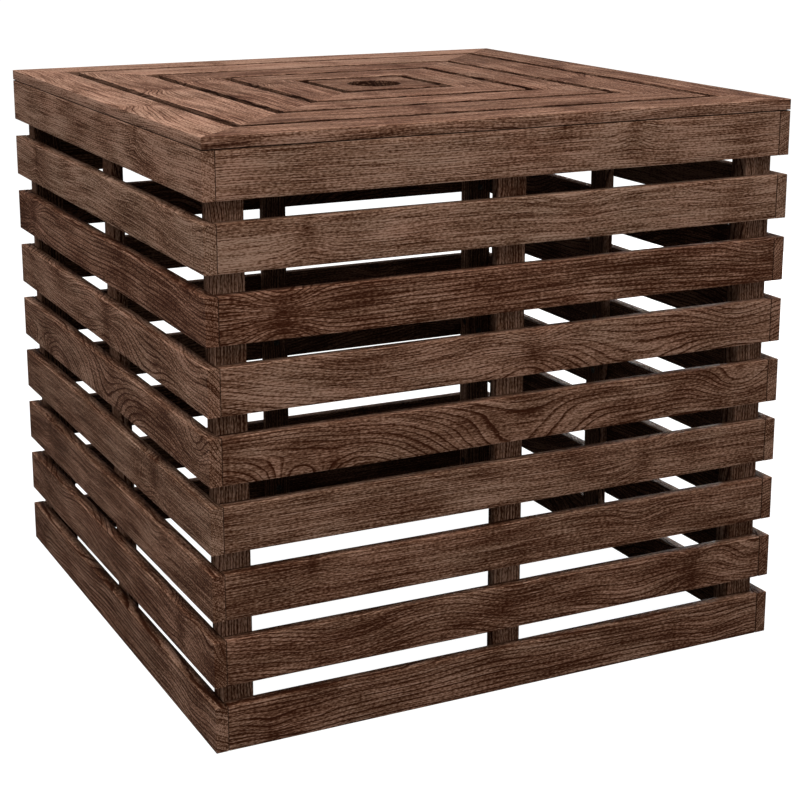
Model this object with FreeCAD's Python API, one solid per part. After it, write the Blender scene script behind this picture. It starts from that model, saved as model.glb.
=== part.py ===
import FreeCAD, Part
import os

# An outdoor umbrella stand: a square slatted wooden box, open at the bottom, that hides
# the umbrella's weighted foot, under a flat lid with a round hole for the pole.
# Millimetres. The origin is on the ground under the middle of the box, the front is -Y
# and +Z is up. Boards called front and back run along X, left and right along Y.

# Box
WIDTH = 559.0                    # outside width and depth, 22 in square
SLATS_PER_SIDE = 9
SLAT_HEIGHT = 40.0
SLAT_GAP = 17.5
SLAT_THICKNESS = 11.0
EASING = 0.6                     # chamfer on the long edges of every board

# Posts that the slats are screwed to, from inside
POST_WIDTH = 27.0
CORNER_POST_DEPTH = 21.5
MID_POST_DEPTH = 11.0

# Lid: mitred rings of boards around one square board with the pole hole
LID_THICKNESS = 10.5
RING_WIDTHS = (44.0, 54.0, 45.0, 48.0)   # outermost ring first
SLOT = 10.0                      # open slot between one ring and the next
HOLE_RADIUS = 25.4               # 2 in hole, for poles of 38 to 48 mm
SINGLE_BOARD_RINGS = 2           # outer rings whose four boards are nodes of their own

# Battens under the mitres, which carry the lid's boards and centre it in the box
BATTEN_WIDTH = 32.0
BATTEN_DEPTH = 15.0
BATTEN_START = 35.0              # from the middle of the hole to a batten's inner end
BATTEN_PLAY = 2.0                # between a batten's outer end and the slats
POST_TOP_GAP = 0.5               # between a corner post's top and the batten above it

# Countersunk wood screws
SHANK_RADIUS = 1.75
HEAD_RADIUS = 3.5
HEAD_DEPTH = 2.2
BITE = 7.0                       # how far a screw goes into the board that it holds
LOW_SCREW = 8.0                  # above a slat's bottom edge, for the front and back slats
HIGH_SCREW = 18.0                # the same for the left and right slats
MITRE_OFFSET = 9.0               # from a mitre to the screws on either side of it

HALF = WIDTH / 2
INSIDE = HALF - SLAT_THICKNESS   # inner face of the slats
PITCH = SLAT_HEIGHT + SLAT_GAP
BOX_HEIGHT = PITCH * (SLATS_PER_SIDE - 1) + SLAT_HEIGHT
CORNER_POST_TOP = BOX_HEIGHT - BATTEN_DEPTH - POST_TOP_GAP
BATTEN_END = (INSIDE - BATTEN_PLAY) * 2 ** 0.5 - BATTEN_WIDTH / 2

X = FreeCAD.Vector(1, 0, 0)
Y = FreeCAD.Vector(0, 1, 0)
Z = FreeCAD.Vector(0, 0, 1)
CENTRE = FreeCAD.Vector(0, 0, 0)
SIDES = ("front", "right", "back", "left")   # anticlockwise from above, 90 degrees apart


def edges_along(shape, axis):
    """The straight edges of a shape that run along one axis."""
    return [edge for edge in shape.Edges
            if abs(edge.tangentAt(edge.FirstParameter).dot(axis)) > 0.999]


def board(low, high, grain):
    """A straight board between two opposite corners, its edges along the grain eased."""
    size = high - low
    blank = Part.makeBox(size.x, size.y, size.z, low)
    return blank.makeChamfer(EASING, edges_along(blank, grain))


def turned(shape, quarter_turns):
    """A copy of a shape, turned about the upright axis by quarter turns."""
    copy = shape.copy()
    copy.rotate(CENTRE, Z, 90 * quarter_turns)
    return copy


def front_slat(tier):
    """A front slat, cut to fit between the left and right slats of the same tier."""
    bottom = tier * PITCH
    return board(FreeCAD.Vector(-INSIDE, -HALF, bottom),
                 FreeCAD.Vector(INSIDE, -INSIDE, bottom + SLAT_HEIGHT), X)


def right_slat(tier):
    """A right slat, which runs the full depth of the box."""
    bottom = tier * PITCH
    return board(FreeCAD.Vector(INSIDE, -HALF, bottom),
                 FreeCAD.Vector(HALF, HALF, bottom + SLAT_HEIGHT), Y)


def front_mid_post():
    """The flat upright behind the middle of the front slats."""
    return board(FreeCAD.Vector(-POST_WIDTH / 2, -INSIDE, 0),
                 FreeCAD.Vector(POST_WIDTH / 2, -INSIDE + MID_POST_DEPTH, BOX_HEIGHT), Z)


def corner_post(x_side, y_side):
    """The post in one corner. It stops below the lid's batten."""
    x_faces = sorted((x_side * INSIDE, x_side * (INSIDE - POST_WIDTH)))
    y_faces = sorted((y_side * INSIDE, y_side * (INSIDE - CORNER_POST_DEPTH)))
    return board(FreeCAD.Vector(x_faces[0], y_faces[0], 0),
                 FreeCAD.Vector(x_faces[1], y_faces[1], CORNER_POST_TOP), Z)


def front_ring_board(outer, inner):
    """The front board of a lid ring, mitred at 45 degrees at both ends."""
    outline = Part.makePolygon([FreeCAD.Vector(-outer, -outer, BOX_HEIGHT),
                                FreeCAD.Vector(outer, -outer, BOX_HEIGHT),
                                FreeCAD.Vector(inner, -inner, BOX_HEIGHT),
                                FreeCAD.Vector(-inner, -inner, BOX_HEIGHT),
                                FreeCAD.Vector(-outer, -outer, BOX_HEIGHT)])
    blank = Part.Face(outline).extrude(Z * LID_THICKNESS)
    return blank.makeChamfer(EASING, edges_along(blank, X))


def ring_halves():
    """Half the outer and inner width of each lid ring, outermost first."""
    halves = []
    outer = HALF
    for width in RING_WIDTHS:
        halves.append((outer, outer - width))
        outer -= width + SLOT
    return halves, outer


def centre_board(half):
    """The square board in the middle of the lid, bored for the umbrella's pole."""
    blank = Part.makeBox(2 * half, 2 * half, LID_THICKNESS,
                         FreeCAD.Vector(-half, -half, BOX_HEIGHT))
    blank = blank.makeChamfer(EASING, edges_along(blank, X) + edges_along(blank, Y))
    bore = Part.makeCylinder(HOLE_RADIUS, LID_THICKNESS, Z * BOX_HEIGHT)
    return blank.cut(bore)


def batten(quarter_turns):
    """One of the four battens that run out under the mitres, along a diagonal."""
    straight = board(FreeCAD.Vector(BATTEN_START, -BATTEN_WIDTH / 2, BOX_HEIGHT - BATTEN_DEPTH),
                     FreeCAD.Vector(BATTEN_END, BATTEN_WIDTH / 2, BOX_HEIGHT), X)
    straight.rotate(CENTRE, Z, 45)
    return turned(straight, quarter_turns)


def screw(head, direction, length):
    """A countersunk screw with its flat head at one point, pointing along a direction."""
    shank = Part.makeCylinder(SHANK_RADIUS, length, head, direction)
    cone = Part.makeCone(HEAD_RADIUS, SHANK_RADIUS, HEAD_DEPTH, head, direction)
    return shank.fuse(cone).removeSplitter()


def slat_heights(offset):
    """The height of one screw in every tier of slats."""
    return [tier * PITCH + offset for tier in range(SLATS_PER_SIDE)]


def mid_screws():
    """One screw through each mid post into each slat of its side."""
    face = -INSIDE + MID_POST_DEPTH
    front = [screw(FreeCAD.Vector(0, face, height), -Y, MID_POST_DEPTH + BITE)
             for height in slat_heights(SLAT_HEIGHT / 2)]
    return Part.makeCompound([turned(one, side) for side in range(4) for one in front])


def corner_screws_to_front_and_back():
    """Screws through the corner posts into the front and back slats."""
    screws = []
    for x_side in (-1, 1):
        for y_side in (-1, 1):
            across = x_side * (INSIDE - POST_WIDTH / 2)
            face = y_side * (INSIDE - CORNER_POST_DEPTH)
            for height in slat_heights(LOW_SCREW):
                head = FreeCAD.Vector(across, face, height)
                screws.append(screw(head, Y * y_side, CORNER_POST_DEPTH + BITE))
    return Part.makeCompound(screws)


def corner_screws_to_left_and_right():
    """Screws through the corner posts into the left and right slats."""
    screws = []
    for x_side in (-1, 1):
        for y_side in (-1, 1):
            face = x_side * (INSIDE - POST_WIDTH)
            across = y_side * (INSIDE - CORNER_POST_DEPTH / 2)
            for height in slat_heights(HIGH_SCREW):
                head = FreeCAD.Vector(face, across, height)
                screws.append(screw(head, X * x_side, POST_WIDTH + BITE))
    return Part.makeCompound(screws)


def lid_screws(rings, centre_half):
    """Screws up through the battens: two at each mitre, one at each centre-board corner."""
    along = [(outer + inner) / 2 * 2 ** 0.5 for outer, inner in rings]
    along[0] = BATTEN_END - BATTEN_WIDTH / 2
    places = [(distance, side * MITRE_OFFSET) for distance in along for side in (-1, 1)]
    places.append(((BATTEN_START + centre_half * 2 ** 0.5) / 2, 0))
    screws = []
    for distance, offset in places:
        head = FreeCAD.Vector(distance, offset, BOX_HEIGHT - BATTEN_DEPTH)
        one = screw(head, Z, BATTEN_DEPTH + BITE)
        one.rotate(CENTRE, Z, 45)
        screws += [turned(one, quarter) for quarter in range(4)]
    return Part.makeCompound(screws)


def box_parts():
    """Every sub-part of the box that stands on the ground."""
    parts = {}
    for tier in range(SLATS_PER_SIDE):
        parts[f"front_slat_{tier + 1}"] = front_slat(tier)
        parts[f"back_slat_{tier + 1}"] = turned(front_slat(tier), 2)
        parts[f"right_slat_{tier + 1}"] = right_slat(tier)
        parts[f"left_slat_{tier + 1}"] = turned(right_slat(tier), 2)
    for quarter, side in enumerate(SIDES):
        parts[f"mid_post_{side}"] = turned(front_mid_post(), quarter)
    for y_name, y_side in (("front", -1), ("back", 1)):
        for x_name, x_side in (("left", -1), ("right", 1)):
            parts[f"corner_post_{y_name}_{x_name}"] = corner_post(x_side, y_side)
    parts["mid_post_screws"] = mid_screws()
    parts["corner_screws_front_back"] = corner_screws_to_front_and_back()
    parts["corner_screws_left_right"] = corner_screws_to_left_and_right()
    return parts


def lid_parts():
    """Every sub-part of the lid, which lifts off."""
    parts = {}
    rings, centre_half = ring_halves()
    for number, (outer, inner) in enumerate(rings, start=1):
        boards = [turned(front_ring_board(outer, inner), quarter) for quarter in range(4)]
        if number <= SINGLE_BOARD_RINGS:
            for side, one in zip(SIDES, boards):
                parts[f"lid_ring_{number}_{side}"] = one
        else:
            parts[f"lid_ring_{number}_boards"] = Part.makeCompound(boards)
    parts["lid_centre_board"] = centre_board(centre_half)
    parts["lid_battens"] = Part.makeCompound([batten(quarter) for quarter in range(4)])
    parts["lid_screws"] = lid_screws(rings, centre_half)
    return parts


os.makedirs("parts", exist_ok=True)
for name, shape in {**box_parts(), **lid_parts()}.items():
    shape.exportStep(f"parts/{name}.step")
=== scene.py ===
import bpy
import math
from collections import namedtuple
from mathutils import Matrix, Vector, noise


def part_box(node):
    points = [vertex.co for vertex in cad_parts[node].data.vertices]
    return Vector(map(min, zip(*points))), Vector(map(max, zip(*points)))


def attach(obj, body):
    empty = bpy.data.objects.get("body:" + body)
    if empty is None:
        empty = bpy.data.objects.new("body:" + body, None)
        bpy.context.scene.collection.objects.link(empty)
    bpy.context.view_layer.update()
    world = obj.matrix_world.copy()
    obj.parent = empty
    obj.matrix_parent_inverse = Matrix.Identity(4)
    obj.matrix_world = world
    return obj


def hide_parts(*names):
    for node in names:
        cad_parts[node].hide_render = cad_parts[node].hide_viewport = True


# The looks of an outdoor umbrella stand: a square slatted box of dark stained wood under a
# flat lid of mitred rings, with a round hole for the umbrella's pole. Every board of the
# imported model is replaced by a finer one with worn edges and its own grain. Metres, +Z up.

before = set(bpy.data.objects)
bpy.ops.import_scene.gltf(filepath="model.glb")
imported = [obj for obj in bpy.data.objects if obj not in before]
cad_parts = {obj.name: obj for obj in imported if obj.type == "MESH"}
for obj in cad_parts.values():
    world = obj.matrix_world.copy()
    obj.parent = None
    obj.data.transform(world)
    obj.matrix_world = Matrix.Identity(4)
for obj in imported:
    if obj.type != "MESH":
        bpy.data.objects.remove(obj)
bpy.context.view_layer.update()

MM = 0.001
SIDES = ("front", "right", "back", "left")   # each a quarter turn anticlockwise from the last
TIERS = 9

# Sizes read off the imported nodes
LID_LOW, LID_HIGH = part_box("lid_centre_board")
RING_NODES = ("lid_ring_1_front", "lid_ring_2_front", "lid_ring_3_boards", "lid_ring_4_boards")
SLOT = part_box("lid_ring_2_front")[0].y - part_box("lid_ring_1_front")[1].y
BATTEN_LOW, BATTEN_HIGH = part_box("lid_battens")

# Sizes that the nodes' boxes don't show
HOLE_RADIUS = 25.4 * MM
BATTEN_WIDTH = 32 * MM
BATTEN_START = 35 * MM          # from the middle of the lid to a batten's inner end

# How the boards are made
EASED = 0.5 * MM                # radius of a board's worn long edges
END_EASED = 0.25 * MM           # the same at its sawn ends
BUTT_GAP = 0.45 * MM            # what a front or back slat is short of its neighbours
LID_GAP = 0.6 * MM              # the dark joint between the lid and the slats
ARC_STEPS = 3                   # along each eased corner of a board's section
STATION_STEP = 9 * MM           # between sections along a board
ACROSS_STEP = 5 * MM            # between points along a section's flat sides
RIM_POINTS = 96                 # round the pole's hole
RELIEF = 0.16 * MM              # how far a planed face wanders inwards
DENT = 0.5 * MM                 # how deep the dents in a long edge can be
DENT_START = 0.25               # the dent noise counts only above this
SHARP_ANGLE = math.radians(38)  # mesh edges that turn more than this stay sharp
BOARD_OFFSET = 0.83             # along the grain, from one board's wood to the next one's

# How much painted shade darkens a board's long edge: at its face, at its back, and how late
# in its depth that changes. 0 is none, 1 is full painted shade and below 0 the wood is made paler.
SLAT_EDGE = (0.0, 1.0, 3)       # beside the gaps between slats
JOINT_EDGE = (1.0, 1.0, 1)      # the top slats' upper edges, under the lid
OUTER_EDGE = (-0.6, 1.0, 60)     # the lid's outer edge
SLOT_EDGE = (0.75, 1.0, 1)      # beside the lid's slots

# How a board was cut from its log. log_across and log_depth are where the log's middle lies,
# from the board's lower or outer edge and below its face. year is the width of one year's
# growth, slope how much the log's middle sinks along the board, wander how far it bends, wave
# how wavy the grain is, and lines how strong its dark lines are.
Grain = namedtuple("Grain", "log_across log_depth year slope wander wave lines")

FINE = Grain(-60 * MM, 30 * MM, 1.7 * MM, 0.01, 10 * MM, 1.0 * MM, 0.5)
PLAIN = Grain(-80 * MM, 45 * MM, 2.3 * MM, 0.02, 16 * MM, 1.5 * MM, 0.4)
WAVY = Grain(-50 * MM, 20 * MM, 3.6 * MM, 0.01, 9 * MM, 2.0 * MM, 0.85)
FLAME = Grain(-22 * MM, 42 * MM, 2.5 * MM, 0.05, 20 * MM, 1.8 * MM, 0.62)
RIM = Grain(-20 * MM, 60 * MM, 1.7 * MM, 0.01, 10 * MM, 1.0 * MM, 0.5)
STRIPE = Grain(-36 * MM, 14 * MM, 2.7 * MM, 0.01, 8 * MM, 1.2 * MM, 0.9)

# What is special about a board: three swirls of its rings, each as (share of its length, share
# of its width, reach along the grain, how many rings it raises), and one knot, as (share of
# its length, share of its width, radius, how tightly it draws the grain together).
Figure = namedtuple("Figure", "grain swirls knot")

TIER_FIGURES = (
    Figure(WAVY, ((0.12, 0.2, 45 * MM, 1.6), (0.47, 1.0, 60 * MM, -2.0), (0.9, 0.4, 30 * MM, 1.8)),
           (0.07, 0.15, 1.6 * MM, 0.8)),
    Figure(FLAME, ((0.2, 0.62, 62 * MM, 4.0), (0.5, 0.7, 48 * MM, 3.0), (0.98, 0.6, 32 * MM, 4.5)),
           (0.855, 0.58, 2.6 * MM, 1.0)),
    Figure(PLAIN, ((0.32, 0.9, 80 * MM, 2.2), (0.74, 0.62, 26 * MM, 3.6), (0.0, 0.6, 60 * MM, 2.0)),
           (0.145, 0.88, 1.7 * MM, 0.9)),
    Figure(FINE, ((0.1, 0.4, 70 * MM, 2.0), (0.45, 0.2, 90 * MM, -2.0), (0.87, 0.1, 40 * MM, 1.4)),
           (0.75, 0.68, 2.4 * MM, 0.9)),
    Figure(FLAME, ((0.12, -0.12, 38 * MM, 9.0), (0.48, -0.1, 88 * MM, 9.0), (0.94, 0.6, 36 * MM, 6.0)),
           (0.18, 0.1, 1.6 * MM, 0.5)),
    Figure(FLAME, ((0.25, 1.1, 85 * MM, 8.0), (0.72, 0.0, 70 * MM, 4.5), (0.93, 0.75, 45 * MM, 4.5)),
           (0.53, 0.5, 3.2 * MM, 1.3)),
    Figure(WAVY, ((0.1, 1.0, 24 * MM, 1.6), (0.62, 0.3, 90 * MM, -1.4), (0.97, 0.9, 34 * MM, 3.0)),
           (0.1, 0.55, 3.0 * MM, 1.2)),
    Figure(PLAIN, ((0.23, 1.0, 60 * MM, 3.0), (0.6, 1.02, 36 * MM, 4.5), (0.92, 1.05, 40 * MM, 5.0)),
           (0.14, 0.75, 2.2 * MM, 0.9)),
    Figure(FINE, ((0.66, 1.3, 50 * MM, -3.4), (0.24, 0.2, 90 * MM, 1.8), (0.86, 0.0, 80 * MM, 2.0)),
           (0.71, 0.98, 1.8 * MM, 0.9)),
)
RING_FIGURES = (
    Figure(RIM, ((0.3, 0.5, 90 * MM, 2.0), (0.6, 0.9, 60 * MM, -2.0), (0.85, 0.2, 60 * MM, 2.0)),
           (0.62, 0.7, 2.2 * MM, 0.8)),
    Figure(FLAME, ((0.2, 0.9, 70 * MM, 4.5), (0.5, 0.1, 90 * MM, 3.5), (0.85, 0.9, 60 * MM, 3.5)),
           (0.4, 0.6, 2.6 * MM, 1.0)),
    Figure(WAVY, ((0.3, 0.5, 60 * MM, 1.5), (0.7, 0.9, 60 * MM, -1.5), (0.5, 0.0, 50 * MM, 2.0)),
           (0.2, 0.4, 1.6 * MM, 0.8)),
    Figure(STRIPE, ((0.4, 0.5, 40 * MM, 1.2), (0.8, 0.2, 40 * MM, 1.2), (0.1, 0.9, 40 * MM, 1.0)),
           (0.3, 0.5, 1.8 * MM, 0.8)),
)
CENTRE_FIGURE = Figure(FLAME, ((0.3, 0.4, 30 * MM, 3.0), (0.8, 0.8, 30 * MM, 3.0),
                               (0.6, 0.1, 30 * MM, -2.0)), (0.6, 0.86, 3.0 * MM, 1.0))
POST_FIGURE = Figure(STRIPE, ((0.93, 0.9, 30 * MM, 4.0), (0.5, 0.3, 60 * MM, 1.2),
                              (0.2, 0.6, 60 * MM, -1.2)), (0.88, 0.3, 2.4 * MM, 0.8))
BATTEN_FIGURE = Figure(FINE, ((0.3, 0.5, 60 * MM, 1.5), (0.7, 0.2, 60 * MM, 1.5),
                              (0.9, 0.9, 40 * MM, 1.5)), (0.5, 0.5, 2.0 * MM, 0.8))

# How light and how red each tier's boards are, from the ground up, and how light each lid
# ring's are, outermost first, in the order of SIDES. 0 is the stain's darkest brown and 1 its
# palest, and 0 is its coolest hue and 1 its reddest.
TIER_LIGHTNESS = (0.53, 0.5, 0.5, 0.57, 0.56, 0.65, 0.46, 0.7, 0.72)
TIER_REDNESS = (0.5, 0.55, 0.5, 0.3, 0.5, 0.55, 0.8, 0.25, 0.45)
RING_LIGHTNESS = (
    (0.51, 0.52, 0.84, 0.74),
    (0.5, 0.52, 0.8, 0.68),
    (0.6, 0.62, 0.5, 0.54),
    (0.6, 0.58, 0.56, 0.52),
)
LID_REDNESS = 0.75

# The front and the left side show the same figures. The other two sides have them this many
# tiers lower, going round from the bottom to the top, and turned end for end.
UNSEEN_SHIFT = {"right": 4, "back": 7}

# The stain's linear colour, from its darkest lines to its palest fibres
STAIN = (
    (0.0, (0.048, 0.013, 0.0046)),
    (0.23, (0.1, 0.04, 0.021)),
    (0.43, (0.165, 0.08, 0.048)),
    (0.56, (0.218, 0.113, 0.072)),
    (0.69, (0.28, 0.153, 0.1)),
    (1.0, (0.465, 0.282, 0.209)),
)

# What the stain's colour is multiplied by: where its hue is coolest and reddest, and where the
# wood has no painted shade and full painted shade
COOL = (0.99, 1.02, 0.98, 1)
RED = (1.06, 0.96, 0.9, 1)
UNSHADED = (1, 1, 1, 1)
SHADE_TINT = (0.32, 0.28, 0.25, 1)

# The lengths of the features of each noise in the wood: along the grain, across it and into it
RIPPLE_SIZE = (60 * MM, 26 * MM, 30 * MM)
QUIVER_SIZE = (12 * MM, 5 * MM, 8 * MM)
PATCH_SIZE = (75 * MM, 35 * MM, 30 * MM)
FIBRE_SIZE = (60 * MM, 0.9 * MM, 0.9 * MM)
SPECK_SIZE = (3.2 * MM, 1.2 * MM, 1.2 * MM)
PORE_SIZE = (11 * MM, 0.7 * MM, 0.7 * MM)
BEND_LENGTH = 210 * MM
DRIFT_LENGTH = 400 * MM
LINE_LENGTH = 160 * MM
STREAK_LENGTH = 90 * MM

# How far each part of the wood's look moves its tone along the stain
FIBRE = 1.95
SPECK = 1.7
LINE = 1.25
PORE = 0.22
KNOT = 0.7
# The next lightens the eased edges: partly worn stain, partly a painted highlight.
EDGE_WEAR_AND_HIGHLIGHT = 0.14
# The next makes the lid's outer edge paler.
PALE_EDGE = 0.22

# The camera, fitted to the photo's corners
CAMERA_PLACE = (-0.7396, -1.5456, 0.6976)
CAMERA_DIP = math.radians(13.314)    # below the horizon
CAMERA_TURN = math.radians(26.407)   # from facing the back, towards the right
CAMERA_LENS = 79.97
CAMERA_SHIFT = -0.12

# The studio
FLOOR_SIZE = 60
FLOOR_DROP = 0.5 * MM           # keeps the floor clear of the lowest slats
FLOOR_COLOUR = (0.25, 0.25, 0.25, 1)
WHITE = (1, 1, 1, 1)
SKY_GLOW = 0.28                 # how bright the backdrop is to all but the camera


class Board:
    """A straight board, given by its directions and sizes.

    grain and face are unit vectors along the grain and out of the board's best face. middle
    is the middle of the edge of that face from which the width is measured. A mitred board
    is shortened at both ends by the distance from that edge. edges says how much painted
    shade darkens its long edges: the one at middle, then the other one.
    """

    def __init__(self, middle, grain, face, length, width, depth, mitred=False,
                 edges=(SLAT_EDGE, SLAT_EDGE)):
        self.middle = Vector(middle)
        self.grain = Vector(grain)
        self.face = Vector(face)
        self.across = self.face.cross(self.grain)
        self.length = length
        self.width = width
        self.depth = depth
        self.mitred = mitred
        self.edges = edges

    def half_length(self, across):
        """Half the board's length at a place across it."""
        return self.length / 2 - (across if self.mitred else 0)

    def shade_share(self, depth, inward_across):
        """How much painted shade darkens the surface at a depth, on the face or edge that the
        inward direction tells. The back face gets full painted shade."""
        if abs(inward_across) < 0.5:
            return round(depth / self.depth)
        at_face, at_back, lateness = self.edges[0 if inward_across > 0 else 1]
        return at_face + (at_back - at_face) * (depth / self.depth) ** lateness

    def point(self, along, across, depth):
        """A place in the board as a point of the frame."""
        return self.middle + self.grain * along + self.across * across - self.face * depth


# What a board's wood looks like: its figure, how light and how red it is, and its number,
# which sets it apart from the other boards.
Wood = namedtuple("Wood", "figure lightness redness number")

# A mesh in the making: its vertices, its faces, and for each vertex its place in the wood and
# its worn edges and painted light, as (how worn, how much painted shade, 0).
Made = namedtuple("Made", "vertices faces places weather")


def quarter_turn(vector, quarters):
    """A vector turned about the upright axis by quarter turns."""
    return Matrix.Rotation(math.pi / 2 * quarters, 3, "Z") @ Vector(vector)


def steps_between(low, high, step):
    """Evenly spaced values from low to high, both included."""
    count = max(1, round((high - low) / step))
    return [low + (high - low) * index / count for index in range(count + 1)]


def outline(width, depth):
    """A board's section as (across, depth, inward across, inward depth, worn) points.

    worn is 1 on the eased corners and 0 on the flat faces.
    """
    corners = (
        (0.0, 0.0, (1, 0), (0, 1), width),
        (width, 0.0, (0, 1), (-1, 0), depth),
        (width, depth, (-1, 0), (0, -1), width),
        (0.0, depth, (0, -1), (1, 0), depth),
    )
    points = []
    for across, down, forward, inward, length in corners:
        for at in steps_between(EASED, length - EASED, ACROSS_STEP):
            points.append((across + forward[0] * at, down + forward[1] * at, *inward, 0.0))
        centre = (across + forward[0] * (length - EASED) + inward[0] * EASED,
                  down + forward[1] * (length - EASED) + inward[1] * EASED)
        for index in range(1, ARC_STEPS):
            turn = math.pi / 2 * index / ARC_STEPS
            out_across = forward[0] * math.sin(turn) - inward[0] * math.cos(turn)
            out_down = forward[1] * math.sin(turn) - inward[1] * math.cos(turn)
            points.append((centre[0] + out_across * EASED, centre[1] + out_down * EASED,
                           -out_across, -out_down, 1.0))
    return points


def wear(along, across, depth, worn):
    """How far a board's surface lies inside its planed shape at one place."""
    broad = noise.noise(Vector((along / (90 * MM), across / (30 * MM), depth / (30 * MM))))
    inward = RELIEF * (0.5 + 0.5 * broad)
    if worn > 0:
        chip = noise.noise(Vector((along / (14 * MM), across / (10 * MM), depth / (10 * MM))))
        inward += DENT * max(0.0, chip - DENT_START)
    return inward


def straight_board(board, number):
    """The mesh of one straight board."""
    section = outline(board.width, board.depth)
    half = board.length / 2
    middle_stations = steps_between(-half + END_EASED, half - END_EASED, STATION_STEP)
    stations = [(-1.0, END_EASED)]
    stations += [(along / half, 0.0) for along in middle_stations]
    stations += [(1.0, END_EASED)]
    offset = number * BOARD_OFFSET
    vertices, places, weather = [], [], []
    for share, shrink in stations:
        for across, depth, inward_across, inward_depth, edge in section:
            along = share * board.half_length(across)
            inward = shrink + wear(along + offset, across, depth, edge)
            place = (along, across + inward_across * inward, depth + inward_depth * inward)
            vertices.append(board.point(*place))
            places.append((along + offset, place[1], place[2]))
            weather.append((edge, board.shade_share(depth, inward_across), 0.0))
    around = len(section)
    faces = tube_faces(len(stations), around)
    for start, order in ((0, 1), (len(vertices) - around, -1)):
        rim = range(start, start + around)
        faces.append(tuple(range(len(vertices), len(vertices) + around))[::order])
        vertices += [vertices[index] for index in rim]
        places += [places[index] for index in rim]
        weather += [(0.0, 0.0, 0.0)] * around
    return Made(vertices, faces, places, weather)


def tube_faces(rows, around, ring=False):
    """The quads between rows of points, each row closed on itself. In a ring the last row meets
    the first one again."""
    faces = []
    for row in range(rows if ring else rows - 1):
        near, far = row * around, (row + 1) % rows * around
        for index in range(around):
            after = (index + 1) % around
            faces.append((near + index, far + index, far + after, near + after))
    return faces


def centre_board(board, number):
    """The mesh of the lid's middle board: a square with a round hole through its middle."""
    section = outline(board.width / 2 - HOLE_RADIUS, board.depth)
    half = board.width / 2
    offset = number * BOARD_OFFSET
    vertices, places, weather = [], [], []
    for across, depth, inward_across, inward_depth, edge in section:
        for index in range(RIM_POINTS):
            turn = 2 * math.pi * index / RIM_POINTS
            x, y = math.cos(turn), math.sin(turn)
            to_edge = half / max(abs(x), abs(y))
            share = across / (half - HOLE_RADIUS)
            radius = HOLE_RADIUS + share * (to_edge - HOLE_RADIUS)
            inward = wear(x * radius + offset, y * radius, depth, edge)
            radius += inward_across * inward
            place = (x * radius, half + y * radius, depth + inward_depth * inward)
            vertices.append(board.point(*place))
            places.append((place[0] + offset, place[1], place[2]))
            weather.append((edge, board.shade_share(depth, inward_across), 0.0))
    return Made(vertices, tube_faces(len(section), RIM_POINTS, ring=True), places, weather)


def wood_values(board, wood):
    """What the wood's material is told about a board, as four numbers for each attribute."""
    cut = wood.figure.grain
    start = wood.number * BOARD_OFFSET
    values = {
        "log": (cut.log_across, cut.log_depth, cut.year, cut.slope),
        "flow": (cut.wander, cut.wave, cut.lines, start),
        "tone": (wood.lightness, wood.redness, 0.0, 0.0),
    }
    features = {f"swirl_{index}": swirl for index, swirl in enumerate(wood.figure.swirls)}
    features["knot"] = wood.figure.knot
    for name, (share_along, share_across, size, strength) in features.items():
        along = (share_along - 0.5) * board.length + start
        values[name] = (along, share_across * board.width, size, strength)
    return values


def wood_piece(name, node, body, material, boards):
    """One visible piece that stands for one CAD node. boards are (mesh in the making, what its
    material is told)."""
    vertices, faces, places, weather = [], [], [], []
    constants = {}
    for made, values in boards:
        first = len(vertices)
        vertices += made.vertices
        faces += [tuple(first + index for index in face) for face in made.faces]
        places += made.places
        weather += made.weather
        for key, value in values.items():
            constants.setdefault(key, []).extend([*value] * len(made.vertices))
    mesh = bpy.data.meshes.new(name)
    mesh.from_pydata(vertices, [], faces)
    mesh.update()
    for key, vectors in {"grain": places, "weather": weather}.items():
        numbers = [number for one in vectors for number in one]
        mesh.attributes.new(key, "FLOAT_VECTOR", "POINT").data.foreach_set("vector", numbers)
    for key, numbers in constants.items():
        mesh.attributes.new(key, "FLOAT_COLOR", "POINT").data.foreach_set("color", numbers)
    mesh.shade_smooth()
    mesh.set_sharp_from_angle(angle=SHARP_ANGLE)
    mesh.materials.append(material)
    piece = bpy.data.objects.new(name, mesh)
    bpy.context.scene.collection.objects.link(piece)
    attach(piece, body)
    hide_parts(node)


def straight(board, wood):
    """A straight board's part of a piece."""
    return straight_board(board, wood.number), wood_values(board, wood)


class Value:
    """A shader value in a formula. Each operator adds a Math node to the material."""

    def __init__(self, tree, socket):
        self.tree = tree
        self.socket = socket

    def operate(self, operation, *others):
        """The result of one Math node."""
        node = self.tree.nodes.new("ShaderNodeMath")
        node.operation = operation
        for socket, value in zip(node.inputs, (self, *others)):
            feed(self.tree, socket, value)
        return Value(self.tree, node.outputs[0])

    def __add__(self, other):
        return self.operate("ADD", other)

    def __sub__(self, other):
        return self.operate("SUBTRACT", other)

    def __mul__(self, other):
        return self.operate("MULTIPLY", other)

    def __truediv__(self, other):
        return self.operate("DIVIDE", other)

    def squared(self):
        """The value times itself."""
        return self * self

    def root(self):
        """The value's square root."""
        return self.operate("SQRT")

    def bell(self):
        """1 where the value is 0, falling to 0 as it grows."""
        return (self * -1.0).operate("EXPONENT")

    def ramp(self, low, high):
        """0 below low, 1 above high, and smooth between. low may be above high."""
        node = self.tree.nodes.new("ShaderNodeMapRange")
        node.interpolation_type = "SMOOTHSTEP"
        feed(self.tree, node.inputs["Value"], self)
        feed(self.tree, node.inputs["From Min"], low)
        feed(self.tree, node.inputs["From Max"], high)
        return Value(self.tree, node.outputs["Result"])


def feed(tree, socket, value):
    """Gives a socket a link or a fixed value."""
    if isinstance(value, Value):
        tree.links.new(value.socket, socket)
    else:
        socket.default_value = value


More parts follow.
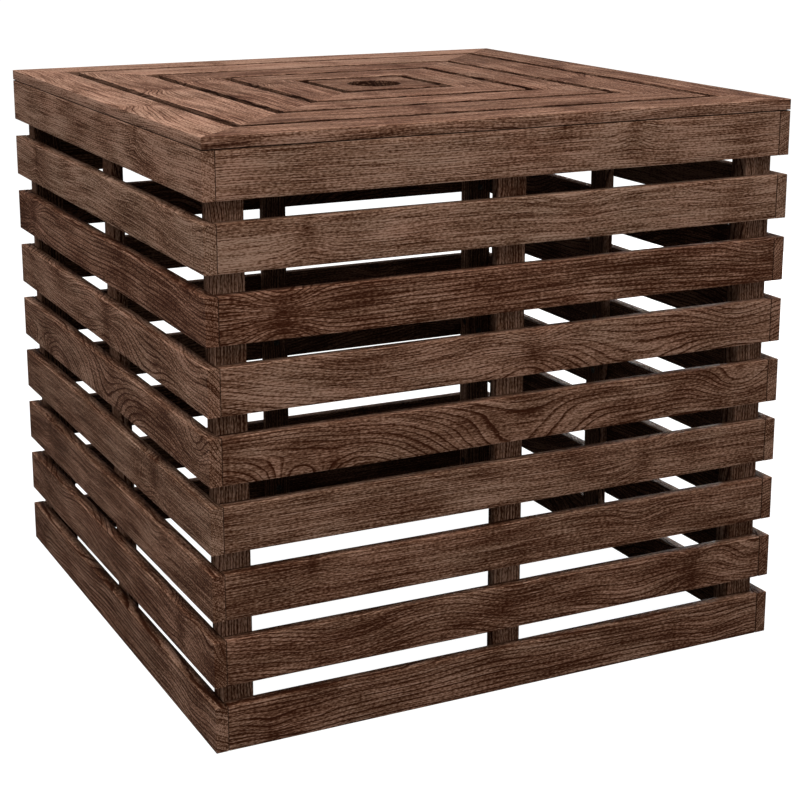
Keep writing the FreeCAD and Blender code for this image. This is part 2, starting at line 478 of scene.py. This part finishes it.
def attribute(tree, name):
    """A mesh attribute's four parts as values."""
    source = tree.nodes.new("ShaderNodeAttribute")
    source.attribute_name = name
    split = tree.nodes.new("ShaderNodeSeparateXYZ")
    tree.links.new(source.outputs["Vector"], split.inputs[0])
    return [Value(tree, socket) for socket in (*split.outputs, source.outputs["Alpha"])]


def vector(tree, parts):
    """Three values as one vector."""
    node = tree.nodes.new("ShaderNodeCombineXYZ")
    for socket, value in zip(node.inputs, parts):
        feed(tree, socket, value)
    return Value(tree, node.outputs[0])


def noise_texture(tree, parts, detail=2.0, roughness=0.5):
    """Three noises over three values, each about -0.5 to 0.5."""
    node = tree.nodes.new("ShaderNodeTexNoise")
    feed(tree, node.inputs["Vector"], vector(tree, parts))
    node.inputs["Scale"].default_value = 1.0
    node.inputs["Detail"].default_value = detail
    node.inputs["Roughness"].default_value = roughness
    split = tree.nodes.new("ShaderNodeSeparateXYZ")
    tree.links.new(node.outputs["Color"], split.inputs[0])
    return [Value(tree, socket) - 0.5 for socket in split.outputs]


def grain_noise(tree, place, size, **detail):
    """Three noises over a place in the wood, whose features are as long, wide and deep as
    size says."""
    return noise_texture(tree, [at / length for at, length in zip(place, size)], **detail)


def mix(tree, share, first, second, blend="MIX"):
    """Two colours mixed by a share."""
    node = tree.nodes.new("ShaderNodeMix")
    node.data_type = "RGBA"
    node.blend_type = blend
    feed(tree, node.inputs["Factor"], share)
    colour_a, colour_b = [socket for socket in node.inputs if socket.type == "RGBA"]
    feed(tree, colour_a, first)
    feed(tree, colour_b, second)
    return Value(tree, next(socket for socket in node.outputs if socket.type == "RGBA"))


def colour_ramp(tree, share, stops):
    """A colour looked up between (position, colour) stops."""
    node = tree.nodes.new("ShaderNodeValToRGB")
    elements = node.color_ramp.elements
    while len(elements) < len(stops):
        elements.new(1.0)
    for element, (position, colour) in zip(elements, stops):
        element.position = position
        element.color = (*colour, 1.0)
    feed(tree, node.inputs["Fac"], share)
    return Value(tree, node.outputs["Color"])


def year_rings(tree, place):
    """The years from the log's middle to each place's wood, and the dark of the knot there."""
    along, across, depth = place
    log_across, log_depth, year, slope = attribute(tree, "log")
    wander, wave, _, start = attribute(tree, "flow")
    knot_along, knot_across, knot_radius, draw = attribute(tree, "knot")

    bend = noise_texture(tree, (along / BEND_LENGTH, 0.0, 0.0), detail=1.0)
    ripple = grain_noise(tree, place, RIPPLE_SIZE)
    quiver = grain_noise(tree, place, QUIVER_SIZE, detail=1.0)

    # The knot: where it draws the grain in, its core, and the dark smudge round it
    off_along = (along - knot_along) / knot_radius
    off_across = (across - knot_across) / knot_radius
    near = (off_along.squared() * 0.012 + off_across.squared() * 0.012).bell()
    off_along = off_along + quiver[1] * 3.0 + ripple[1] * 3.0
    off_across = off_across + quiver[2] * 2.0
    core = (off_along.squared() * 0.8 + off_across.squared() * 0.5).root().ramp(1.3, 0.4) * 0.7
    smudge = (off_along.squared() * 0.07 + off_across.squared() * 0.02).bell() * 0.45

    # The distance from the log's bent middle, through grain that the knot and ripples displace
    across = across + (across - knot_across) * near * draw
    across = across + ripple[0] * wave * 2.0 + quiver[0] * wave * 0.35
    across_log = across - log_across + bend[0] * wander
    depth_log = depth + log_depth + ripple[1] * wave * 2.0 + bend[1] * wander * 2.0
    depth_log = depth_log + (along - start) * slope
    rings = (across_log.squared() + depth_log.squared()).root() / year

    along = along + ripple[2] * wave * 6.0
    for name in ("swirl_0", "swirl_1", "swirl_2"):
        at_along, at_across, reach, rise = attribute(tree, name)
        off_along = (along - at_along) / reach
        off_across = (across - at_across) / (reach * 0.3 + 8 * MM)
        rings = rings + (off_along.squared() + off_across.squared()).bell() * rise
    return rings, core.operate("MAXIMUM", smudge)


def stained_wood(name, gloss, shine, streaks, blotches):
    """Stained wood. gloss is how smooth it is and shine how much it reflects. streaks and
    blotches are how uneven the stain is along the grain and from place to place."""
    material = bpy.data.materials.new(name)
    material.use_nodes = True
    tree = material.node_tree
    surface = tree.nodes["Principled BSDF"]
    place = attribute(tree, "grain")[:3]
    along = place[0]
    lightness, redness, _, _ = attribute(tree, "tone")
    worn, painted_shade, _, _ = attribute(tree, "weather")
    lines = attribute(tree, "flow")[2]

    rings, knot = year_rings(tree, place)
    drift = noise_texture(tree, (rings * 0.21, along / DRIFT_LENGTH, 0.0), detail=1.0)
    rings = rings + drift[0] * 1.6

    # Each year's late wood is a dark line, stronger in some years than in others
    phase = rings.operate("FRACT")
    this_year = noise_texture(tree, ((rings - phase) * 0.73, along / LINE_LENGTH, 0.0), detail=1.0)
    line = phase.ramp(0.58, 0.92) * phase.ramp(1.0, 0.93) * this_year[0].ramp(-0.3, 0.14)
    streak = noise_texture(tree, (rings * 0.8, along / STREAK_LENGTH, 0.0), roughness=0.6)
    patch = grain_noise(tree, place, PATCH_SIZE, detail=3.0)
    fibre = grain_noise(tree, place, FIBRE_SIZE, detail=3.0, roughness=0.65)
    speck = grain_noise(tree, place, SPECK_SIZE, detail=1.0)
    pore = grain_noise(tree, place, PORE_SIZE, detail=0.0)[0].ramp(0.14, 0.24)

    tone = lightness + streak[0] * streaks + patch[0] * blotches
    tone = tone + fibre[0] * FIBRE + speck[0] * SPECK - line * lines * LINE
    tone = tone - pore * PORE - knot * KNOT
    # The eased edges are painted lighter, partly worn stain and partly a painted highlight, and the
    # lid's outer edge is made paler.
    tone = tone + worn * EDGE_WEAR_AND_HIGHLIGHT + painted_shade.ramp(0.0, -1.0) * PALE_EDGE
    colour = colour_ramp(tree, tone, STAIN)
    hue = patch[1] * 1.6 + streak[1] * 0.9 + redness
    colour = mix(tree, 1.0, colour, mix(tree, hue, COOL, RED), "MULTIPLY")
    # Painted shade: the boards' inner and under faces, and their edges in the gaps, the slots and
    # under the lid, are darkened.
    colour = mix(tree, 1.0, colour, mix(tree, painted_shade, UNSHADED, SHADE_TINT), "MULTIPLY")
    tree.links.new(colour.socket, surface.inputs["Base Color"])

    rough = patch[2] * 0.25 + speck[1] * 0.2 + line * 0.08 + (1.0 - gloss)
    tree.links.new(rough.socket, surface.inputs["Roughness"])
    surface.inputs["Specular IOR Level"].default_value = shine

    height = fibre[0] * 0.9 + speck[2] * 0.5 - line * 0.35 - pore * 0.4 - knot * 0.5
    bump = tree.nodes.new("ShaderNodeBump")
    bump.inputs["Strength"].default_value = 0.7
    bump.inputs["Distance"].default_value = 0.35 * MM
    tree.links.new(height.socket, bump.inputs["Height"])
    tree.links.new(bump.outputs["Normal"], surface.inputs["Normal"])
    return material


def steel(name):
    """Black-oxide screw steel with a slightly rubbed surface."""
    material = bpy.data.materials.new(name)
    material.use_nodes = True
    tree = material.node_tree
    surface = tree.nodes["Principled BSDF"]
    place = tree.nodes.new("ShaderNodeTexCoord")
    texture = tree.nodes.new("ShaderNodeTexNoise")
    texture.inputs["Scale"].default_value = 400.0
    texture.inputs["Detail"].default_value = 4.0
    tree.links.new(place.outputs["Object"], texture.inputs["Vector"])
    rubbed = Value(tree, texture.outputs["Fac"]).ramp(0.45, 0.7)
    colour = mix(tree, rubbed, (0.03, 0.026, 0.024, 1), (0.11, 0.095, 0.08, 1))
    tree.links.new(colour.socket, surface.inputs["Base Color"])
    tree.links.new((rubbed * -0.2 + 0.55).socket, surface.inputs["Roughness"])
    surface.inputs["Metallic"].default_value = 1.0
    return material


def mirrored(figure):
    """The same figure with the board turned end for end."""
    swirls = tuple((1 - along, *rest) for along, *rest in figure.swirls)
    along, *rest = figure.knot
    return Figure(figure.grain, swirls, (1 - along, *rest))


def slat(side, tier, number, material):
    """One slat of the box, with the wood of its tier."""
    node = f"{side}_slat_{tier + 1}"
    low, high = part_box(node)
    quarter = SIDES.index(side)
    grain = quarter_turn((1, 0, 0), quarter)
    face = quarter_turn((0, -1, 0), quarter)
    size = high - low
    length = max(size.x, size.y)
    if side in ("front", "back"):
        length -= 2 * BUTT_GAP
    depth = min(size.x, size.y)
    middle = (low + high) / 2 + face * depth / 2
    middle.z = low.z
    upper_edge = JOINT_EDGE if tier == TIERS - 1 else SLAT_EDGE
    board = Board(middle, grain, face, length, size.z, depth, edges=(SLAT_EDGE, upper_edge))
    figure = TIER_FIGURES[(tier + UNSEEN_SHIFT.get(side, 0)) % TIERS]
    if side in UNSEEN_SHIFT:
        figure = mirrored(figure)
    wood = Wood(figure, TIER_LIGHTNESS[tier], TIER_REDNESS[tier], number)
    wood_piece(f"slat_{side}_{tier + 1}", node, "box", material,
               [straight(board, wood)])


def upright(node, face, number, material):
    """A post, with its best face behind the slats that it carries."""
    low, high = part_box(node)
    size = high - low
    face = Vector(face)
    depth = abs(size.dot(face))
    width = size.x + size.y - depth
    board = Board((0, 0, 0), (0, 0, 1), face, size.z, width, depth)
    board.middle = (low + high) / 2 + face * depth / 2 - board.across * width / 2
    wood = Wood(POST_FIGURE, lightness=0.64, redness=0.3, number=number)
    wood_piece(f"{node}_board", node, "box", material, [straight(board, wood)])


def ring_sizes():
    """Half the outer and half the inner width of each lid ring, outermost first."""
    outers = [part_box(node)[1].x for node in RING_NODES]
    inners = [outer + SLOT for outer in outers[1:] + [LID_HIGH.x]]
    return list(zip(outers, inners))


def lid_ring(ring, outer, inner, number, material):
    """The four boards of a lid ring, in one node or in four as the CAD has them."""
    boards = []
    for quarter in range(len(SIDES)):
        middle = quarter_turn((0, -outer, LID_HIGH.z), quarter)
        grain = quarter_turn((1, 0, 0), quarter)
        depth = LID_HIGH.z - LID_LOW.z - LID_GAP
        board = Board(middle, grain, (0, 0, 1), 2 * outer, outer - inner, depth, mitred=True,
                      edges=(SLOT_EDGE if ring else OUTER_EDGE, SLOT_EDGE))
        lightness = RING_LIGHTNESS[ring][quarter]
        wood = Wood(RING_FIGURES[ring], lightness, LID_REDNESS, number + quarter)
        boards.append(straight(board, wood))
    node = f"lid_ring_{ring + 1}_boards"
    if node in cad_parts:
        wood_piece(f"ring_{ring + 1}", node, "lid", material, boards)
        return
    for side, board in zip(SIDES, boards):
        node = f"lid_ring_{ring + 1}_{side}"
        wood_piece(f"ring_{ring + 1}_{side}", node, "lid", material, [board])


def lid_centre(number, material):
    """The lid's middle board with the pole's hole."""
    size = LID_HIGH.x - LID_LOW.x
    depth = LID_HIGH.z - LID_LOW.z - LID_GAP
    board = Board((0, LID_LOW.y, LID_HIGH.z), (1, 0, 0), (0, 0, 1), size, size, depth,
                  edges=(SLOT_EDGE, SLOT_EDGE))
    wood = Wood(CENTRE_FIGURE, lightness=0.46, redness=0.5, number=number)
    wood_piece("centre_board", "lid_centre_board", "lid", material,
               [(centre_board(board, number), wood_values(board, wood))])


def battens(number, material):
    """The four battens that lie on the diagonals under the lid."""
    end = BATTEN_HIGH.x * math.sqrt(2) - BATTEN_WIDTH / 2
    length = end - BATTEN_START
    boards = []
    for quarter in range(len(SIDES)):
        grain = quarter_turn(Vector((1, 1, 0)).normalized(), quarter)
        board = Board((0, 0, 0), grain, (0, 0, -1), length, BATTEN_WIDTH,
                      BATTEN_HIGH.z - BATTEN_LOW.z)
        board.middle = grain * (BATTEN_START + length / 2) - board.across * BATTEN_WIDTH / 2
        board.middle.z = BATTEN_LOW.z
        wood = Wood(BATTEN_FIGURE, lightness=0.3, redness=0.4, number=number + quarter)
        boards.append(straight(board, wood))
    wood_piece("battens", "lid_battens", "lid", material, boards)


def add_light(name, place, size, energy, target):
    """A square soft light that faces a point."""
    light = bpy.data.lights.new(name, "AREA")
    light.size = size
    light.energy = energy
    lamp = bpy.data.objects.new(name, light)
    bpy.context.scene.collection.objects.link(lamp)
    lamp.location = place
    lamp.rotation_mode = "QUATERNION"
    lamp.rotation_quaternion = (Vector(target) - Vector(place)).to_track_quat("-Z", "Y")


def bright_to_camera(tree, dim, bright):
    """A strength that is dim for the light that falls on things and bright where it is seen."""
    path = tree.nodes.new("ShaderNodeLightPath")
    return Value(tree, path.outputs["Is Camera Ray"]) * (bright - dim) + dim


def add_floor():
    """A plain pale floor that stays white under the object."""
    bpy.ops.mesh.primitive_plane_add(size=FLOOR_SIZE, location=(0, 0, -FLOOR_DROP))
    floor = bpy.context.object
    floor.name = "floor"
    material = bpy.data.materials.new("floor_paper")
    material.use_nodes = True
    tree = material.node_tree
    surface = tree.nodes["Principled BSDF"]
    surface.inputs["Base Color"].default_value = FLOOR_COLOUR
    surface.inputs["Roughness"].default_value = 1.0
    surface.inputs["Specular IOR Level"].default_value = 0.0
    surface.inputs["Emission Color"].default_value = WHITE
    glow = bright_to_camera(tree, 0.0, 1.0)
    tree.links.new(glow.socket, surface.inputs["Emission Strength"])
    floor.data.materials.append(material)


def add_world():
    """A white backdrop that gives a little light from all round."""
    world = bpy.data.worlds.new("studio")
    bpy.context.scene.world = world
    world.use_nodes = True
    backdrop = world.node_tree.nodes["Background"]
    backdrop.inputs["Color"].default_value = WHITE
    glow = bright_to_camera(world.node_tree, SKY_GLOW, 1.0)
    world.node_tree.links.new(glow.socket, backdrop.inputs["Strength"])


def add_camera():
    """The camera, standing off the front left corner and looking a little down."""
    data = bpy.data.cameras.new("camera")
    data.lens = CAMERA_LENS
    data.shift_y = CAMERA_SHIFT
    camera = bpy.data.objects.new("camera", data)
    bpy.context.scene.collection.objects.link(camera)
    camera.location = CAMERA_PLACE
    camera.rotation_euler = (math.pi / 2 - CAMERA_DIP, 0, -CAMERA_TURN)
    bpy.context.scene.camera = camera


slat_wood = stained_wood("slat_wood", gloss=0.38, shine=0.06, streaks=1.3, blotches=1.15)
post_wood = stained_wood("post_wood", gloss=0.32, shine=0.06, streaks=0.9, blotches=1.0)
lid_wood = stained_wood("lid_wood", gloss=0.42, shine=0.1, streaks=1.7, blotches=0.9)
batten_wood = stained_wood("batten_wood", gloss=0.3, shine=0.06, streaks=0.9, blotches=1.0)
screw_steel = steel("screw_steel")

count = 0    # of the boards so far, which sets each one's wood apart
for tier in range(TIERS):
    for side in SIDES:
        slat(side, tier, count, slat_wood)
        count += 1
for quarter, side in enumerate(SIDES):
    upright(f"mid_post_{side}", quarter_turn((0, -1, 0), quarter), count, post_wood)
    count += 1
for end, outward in (("front", -1), ("back", 1)):
    for hand in ("left", "right"):
        upright(f"corner_post_{end}_{hand}", (0, outward, 0), count, post_wood)
        count += 1
for ring, (outer, inner) in enumerate(ring_sizes()):
    lid_ring(ring, outer, inner, count, lid_wood)
    count += len(SIDES)
lid_centre(count, lid_wood)
battens(count + 1, batten_wood)

for name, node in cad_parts.items():
    if "screws" in name:
        node.data.materials.clear()
        node.data.materials.append(screw_steel)

add_floor()
add_world()
add_light("overhead_softbox", (-0.45, -0.55, 2.2), size=2.4, energy=54, target=(0, 0, 0.3))
add_light("rear_fill", (1.3, 1.3, 0.25), size=0.45, energy=10, target=(0, 0, 0.25))
add_camera()
bpy.context.scene.view_settings.view_transform = "Standard"
